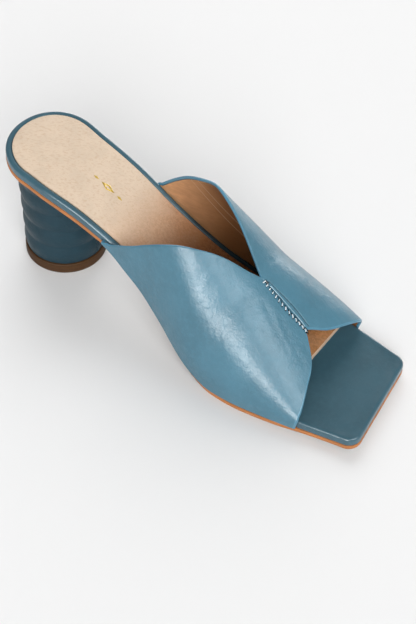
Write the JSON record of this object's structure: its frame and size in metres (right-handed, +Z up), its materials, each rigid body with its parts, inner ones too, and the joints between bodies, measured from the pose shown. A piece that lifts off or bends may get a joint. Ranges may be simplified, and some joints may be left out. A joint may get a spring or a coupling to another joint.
{
  "type": "heeled mule",
  "caption": "Blue leather open-toe mule for the left foot, with a folded vamp, a leather-covered footbed with a tan sock, a thin leather sole and a round heel with soft waves.",
  "frame": {"origin": "on the floor, under the middle of the shoe's box", "axes": "+Z up, toe towards -Y, the inner side of the foot towards -X"},
  "size_m": [0.0824, 0.2362, 0.0798],
  "materials": {
    "outsole": "natural orange-tan sole leather, smooth cut edge",
    "heel_cover": "dark blue leather wrapped over soft rings, semi-gloss",
    "top_piece": "dark brown stacked leather, satin edge",
    "footbed_cover": "blue leather cover, semi-gloss with a polished rim",
    "sock": "pale tan pigskin with rows of fine pores, matt",
    "upper": "smooth blue calf leather, semi-gloss, tan leather lining"
  },
  "bodies": {
    "root": {"outsole": "outsole", "heel": "heel_cover", "top_piece": "top_piece", "footbed": "footbed_cover", "sock": "sock", "upper": "upper"}
  },
  "joints": []
}
